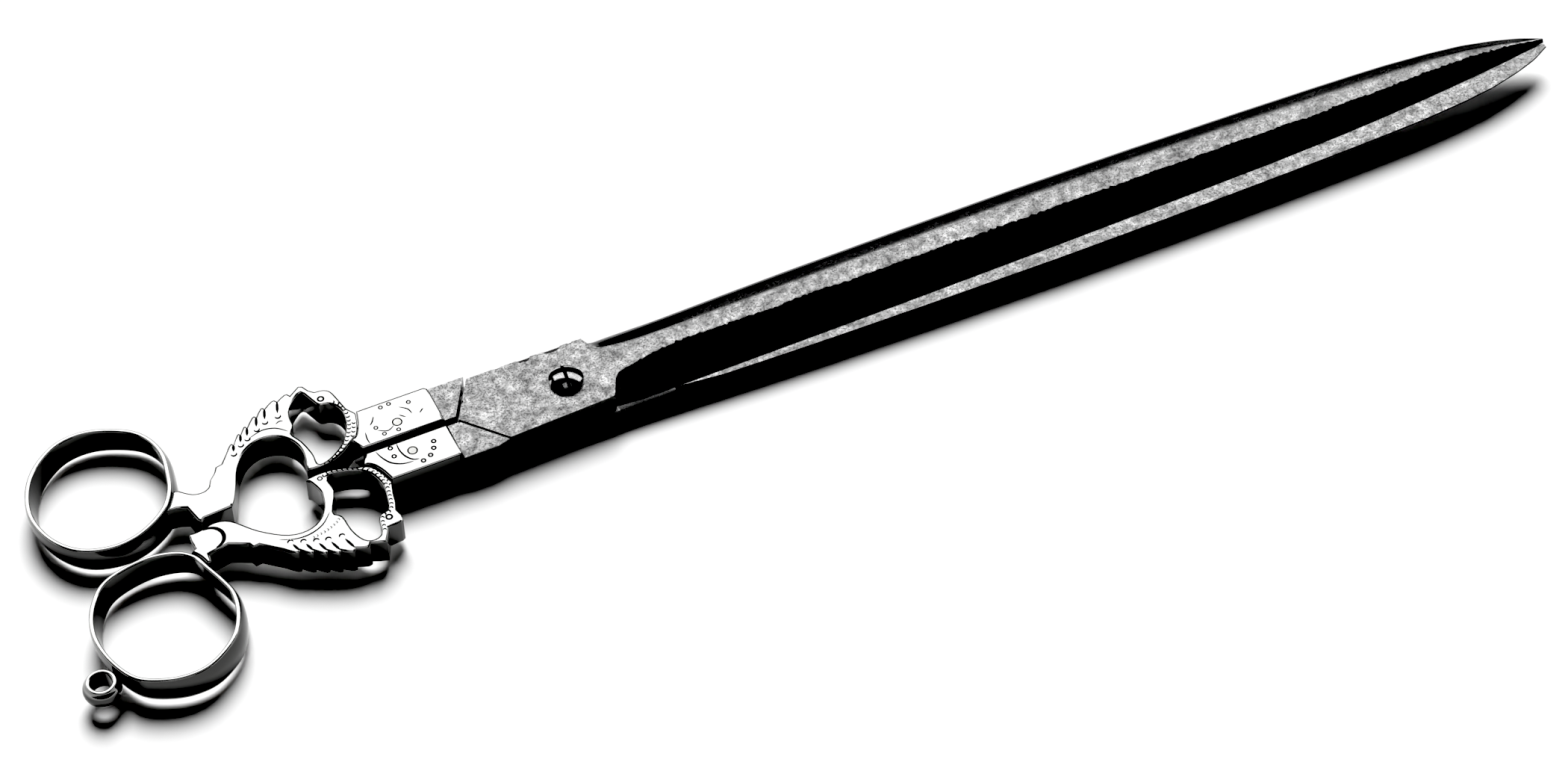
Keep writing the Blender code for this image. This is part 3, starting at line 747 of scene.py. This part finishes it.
def ferrule_marks(hand):
    """Engraved arcs and punched rings of a ferrule."""
    if hand == "thumb":
        rings = [(-42.9, -1.6), (-43, -4.1), (-33.5, -3.8), (-34.2, -5.6), (-35.6, -7.2), (-37.6, -8)]
        lines = [[(-46.2, -1.2), (-45.5, -3.5), (-44.2, -5.6), (-42, -6.9), (-39.6, -7.2)]]
        lines += [[(-41.2, -1.0), (-41.3, -3), (-40.7, -5.2), (-39.5, -6.7), (-38.2, -7.1)]]
        return [dot_ring(p, 0.46, 0.36) for p in rings] + [line(p, 0.42) for p in lines]
    rings = [(-40.5, 10.4), (-38.5, 10.6), (-34.3, 9.2), (-43.6, 5.3), (-38.8, 5.2)]
    rings += [(-42.5, 2.9), (-39.2, 2.7)]
    lines = [[(-46.4, 1.6), (-46.5, 3.2), (-46.2, 5.0)], [(-44.5, 6.5), (-43.7, 7.3), (-42.9, 8.6)]]
    lines += [[(-43.6, 4.5), (-41.5, 3.4), (-39.7, 4.3)], [(-36.8, 8.8), (-35.2, 7.4), (-34.8, 5.8)]]
    lines += [[(-33.2, 5.2), (-32.0, 6.2)], [(-37.6, 6.6), (-36.4, 5.4)]]
    return [dot_ring(p, 0.42, 0.28) for p in rings] + [line(p, 0.3) for p in lines]


def make_ferrules():
    for hand in BODIES:
        node = hand + "_ferrule"
        low, high = (corner.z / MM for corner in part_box(node))
        outline = outlines(node, high - 0.3)[0]
        ferrule = rounded_solid(hand + "_ferrule_shell", outline, low, high)
        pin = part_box(hand + "_tang_pin")
        centre = (pin[0] + pin[1]) / 2 / MM
        radius = (pin[1] - pin[0]).x / 2 / MM + 0.28
        cut_away(ferrule, turned("bore", [(radius, low - 1), (radius, high + 1)], centre.xy, 48))
        clothe(ferrule, ferrule_silver, patina_and_slot_shade)
        engrave(ferrule, ferrule_marks(hand), high)
        settle(ferrule, BODIES[hand], node)


# ---------------------------------------------------------------- birds


def thumb_bird_marks(outer, hollow):
    """Neck scales, eye, wing feathers and tail scroll of the bird on the thumb's handle."""
    neck = inset(hollow, -0.7)
    marks = crescent_row(stretch_of(neck, (-53.5, -22.5), (-58.2, -3.2)), 1.15, 0, 0.4, 0.36)
    neck = inset(hollow, -1.75)
    marks += crescent_row(stretch_of(neck, (-48.6, -12.0), (-51.0, -4.4)), 1.25, 0, 0.4, 0.36)
    marks += feather_marks(outer, 1)
    marks += [dot_ring((-50.2, -19.2), 0.66, 0.42), dot_ring((-59.9, -2.6), 0.5, 0.3)]
    lobe = [(-74, -14.8), (-71, -16.1), (-67.5, -16.3), (-64, -15.0), (-61.4, -12.4)]
    marks.append(line(lobe, 0.34))
    hatch = curve([(-67.6, -17.5), (-64, -16.9), (-61, -15.6), (-59.6, -14.2)])
    marks += crescent_row(hatch, 0.9, -20, 0.3, 0.2)
    marks.append((arc((-87.2, -8.1), 2.9, 105, -85, 16), 0.95, False))
    return marks


def finger_bird_marks(outer, hollow):
    """Neck scales, eye, wing feathers and scratches of the bird on the finger's handle."""
    neck = inset(hollow, -0.7)
    marks = crescent_row(stretch_of(neck, (-57.5, 1.2), (-50.0, 17.4)), 1.15, 180, 0.4, 0.36)
    neck = inset(hollow, -1.75)
    marks += crescent_row(stretch_of(neck, (-50.0, 5.2), (-48.4, 10.5)), 1.25, 180, 0.4, 0.36)
    marks += feather_marks(outer, -1)
    marks += [dot_ring((-51.5, 18.9), 0.66, 0.42)]
    marks.append(line([(-70, 14.9), (-66.6, 15.9), (-63.6, 15.2), (-61.4, 13.2)], 0.34))
    marks.append(line([(-63.1, 16.3), (-62.2, 16.7), (-61.4, 16.5)], 0.3))
    return marks


def make_birds():
    marks_of = {"thumb": thumb_bird_marks, "finger": finger_bird_marks}
    for hand in BODIES:
        node = hand + "_bird"
        low, high = (corner.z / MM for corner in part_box(node))
        outer, hollow = outlines(node, high - 0.3)[:2]
        bird = rounded_solid(hand + "_bird_casting", outer, low, high)
        cut_away(bird, rounded_hole("hollow", hollow, low, high, FILED_EDGE))
        clothe(bird, silver, patina_and_slot_shade)
        engrave(bird, marks_of[hand](outer, hollow), high)
        settle(bird, BODIES[hand], node)


# ---------------------------------------------------------------- rings


def ray_reach(loop, centre, direction):
    """How far an outline lies from a centre inside it, along a direction."""
    side = Vector((-direction.y, direction.x))
    for a, b in zip(loop, loop[1:] + loop[:1]):
        start, end = a - centre, b - centre
        first, second = start.dot(side), end.dot(side)
        if first * second <= 0 and first != second:
            at = start.lerp(end, first / (first - second))
            if at.dot(direction) > 0:
                return at.dot(direction)
    raise ValueError("the centre is outside the outline")


def band_stations(node, count):
    """Stations round a ring: direction, and (level, inner reach, outer reach) from the bottom up."""
    low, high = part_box(node)
    centre = ((low + high) / 2 / MM).xy
    height = (high.z - low.z) / MM
    levels = [low.z / MM + height * share for share in (0.012, 0.17, 0.34, 0.5, 0.66, 0.83, 0.988)]
    loops = [(level, *outlines(node, level)[:2]) for level in levels]
    stations = []
    for i in range(count):
        angle = 2 * math.pi * i / count
        out = Vector((math.cos(angle), math.sin(angle)))
        walls = [(z, *(ray_reach(loop, centre, out) for loop in (inner, outer))) for z, outer, inner in loops]
        stations.append((out, walls))
    return centre, stations


def band_section(walls, swell):
    """Section of the band: rounded rims, a straight inner wall and a swollen outer one."""
    (low, *_), (high, *_) = walls[0], walls[-1]
    section = []
    for z, inner, outer in walls[1:-1]:
        section.append((outer + swell, z))
    _, inner, outer = walls[-1]
    for sine, cosine in quarter(3):
        section.append((outer - RIM_ROUND * (1 - cosine), high - RIM_ROUND * (1 - sine)))
    for sine, cosine in quarter(3)[::-1]:
        section.append((inner + RIM_ROUND * (1 - cosine), high - RIM_ROUND * (1 - sine)))
    for z, inner, outer in walls[-2:0:-1]:
        section.append((inner, z))
    _, inner, outer = walls[0]
    for sine, cosine in quarter(3):
        section.append((inner + RIM_ROUND * (1 - cosine), low + RIM_ROUND * (1 - sine)))
    for sine, cosine in quarter(3)[::-1]:
        section.append((outer - RIM_ROUND * (1 - cosine), low + RIM_ROUND * (1 - sine)))
    return section


def make_rings():
    for hand in BODIES:
        node = hand + "_ring"
        centre, stations = band_stations(node, 144)
        sections = []
        for i, (out, walls) in enumerate(stations):
            swell = 0.03 * noise.noise(Vector((i * 0.13, 2.0, 5.0)))
            section = band_section(walls, swell)
            sections.append([(*(centre + out * reach), z) for reach, z in section])
        ring = loft(hand + "_ring_band", sections, capped=False)
        clothe(ring, ring_silver)
        settle(ring, BODIES[hand], node, smooth=50)


def make_eye():
    """Barrel-shaped lanyard eye with rounded rims."""
    node = "lanyard_eye"
    low, high = (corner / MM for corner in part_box(node))
    inner = min(outlines(node, high.z - 0.2), key=length_of)
    centre = sum(inner, Vector((0, 0))) / len(inner)
    bore = (inner[0] - centre).length
    widest = max((p.x - centre.x for p in (low, high)), key=abs)
    barrel = abs(widest)
    rim = barrel - EYE_SWELL
    profile = []
    for sine, cosine in quarter(3):
        profile.append((rim - EYE_ROUND * (1 - sine), low.z + EYE_ROUND * (1 - cosine)))
    for step in range(1, 8):
        share = step / 4 - 1
        level = low.z + EYE_ROUND + (high.z - low.z - 2 * EYE_ROUND) * step / 8
        profile.append((rim + (barrel - rim) * (1 - share**2), level))
    for sine, cosine in quarter(3)[::-1]:
        profile.append((rim - EYE_ROUND * (1 - sine), high.z - EYE_ROUND * (1 - cosine)))
    eye = turned("lanyard_eye_barrel", profile, centre)
    circle = arc(centre, bore, 0, 360, 64)[:-1]
    cut_away(eye, rounded_hole("bore", circle, low.z, high.z, EYE_EDGE))
    clothe(eye, ring_silver)
    settle(eye, "thumb_half", node)


# ---------------------------------------------------------------- surroundings


def make_floor():
    """Pale sheet that the shears lie on. They rest on the pivot and lean a little towards the rings."""
    bm = bmesh.new()
    bmesh.ops.create_grid(bm, x_segments=8, y_segments=8, size=3000)
    floor = make_object("floor", bm)
    floor.data.transform(Matrix.Rotation(math.radians(0.45), 4, "Y"))
    floor.data.transform(Matrix.Rotation(math.radians(0.5), 4, "X"))
    floor.data.transform(Matrix.Translation((0, 0, -FLOOR_DROP)))
    material, nodes, links, shader = new_material("pale_floor")
    grain = noise_of(nodes, links, 40, 3)
    links.new(ramp(nodes, links, grain, (0.3, 0.93), (0.7, 0.96)), shader.inputs["Base Color"])
    shader.inputs["Roughness"].default_value = 0.9
    shader.inputs["Specular IOR Level"].default_value = 0.1
    floor.data.materials.append(material)


def aim(obj, place, target):
    obj.location = place
    obj.rotation_euler = (Vector(target) - Vector(place)).to_track_quat("-Z", "Y").to_euler()


def make_softbox(name, azimuth, elevation, distance, size, radiance):
    """Rectangular softbox, placed by the compass direction that it stands in and its height in degrees."""
    light = bpy.data.lights.new(name, "AREA")
    light.shape = "RECTANGLE"
    light.size, light.size_y = size
    light.energy = radiance * math.pi * size[0] * size[1]
    obj = bpy.data.objects.new(name, light)
    bpy.context.scene.collection.objects.link(obj)
    turn, lift = math.radians(azimuth), math.radians(elevation)
    way = Vector((math.cos(turn) * math.cos(lift), math.sin(turn) * math.cos(lift), math.sin(lift)))
    aim(obj, Vector(LIGHT_TARGET) + way * distance, LIGHT_TARGET)
    return obj


def make_lights():
    """A soft lamp that lights the floor from behind, and panels all round that only the metal mirrors."""
    lamp = bpy.data.lights.new("lamp", "SUN")
    lamp.energy = 4.4
    lamp.angle = math.radians(33)
    obj = bpy.data.objects.new("lamp", lamp)
    bpy.context.scene.collection.objects.link(obj)
    azimuth, height = math.radians(68), math.radians(54)
    aim(obj, (math.cos(azimuth), math.sin(azimuth), math.tan(height)), (0, 0, 0))
    obj.visible_glossy = False
    for i, panel in enumerate([BACK_PANEL, TOP_PANEL] + FILL_PANELS):
        make_softbox(f"panel_{i}", *panel).visible_diffuse = False
    world = bpy.data.worlds.new("studio")
    world.use_nodes = True
    world.node_tree.nodes["Background"].inputs["Color"].default_value = (0.006, 0.006, 0.006, 1)
    bpy.context.scene.world = world


def develop():
    """Prints the picture hard, so that the deep shadows turn black."""
    view = bpy.context.scene.view_settings
    view.view_transform = "Standard"
    view.use_curve_mapping = True
    view.curve_mapping.black_level = (BLACK_POINT,) * 3
    view.curve_mapping.update()


def make_camera():
    """Camera in front of the shears, looking down at them."""
    camera = bpy.data.cameras.new("camera")
    camera.lens = CAMERA_LENS
    obj = bpy.data.objects.new("camera", camera)
    bpy.context.scene.collection.objects.link(obj)
    plate_top = Vector((0, 0, TOP * MM))
    aim(obj, Vector(CAMERA_PLACE) + plate_top, Vector(CAMERA_TARGET) + plate_top)
    bpy.context.scene.camera = obj


develop()
make_camera()
make_floor()
make_lights()
make_blades()
make_screw()
dress_small_parts()
make_ferrules()
make_birds()
make_rings()
make_eye()
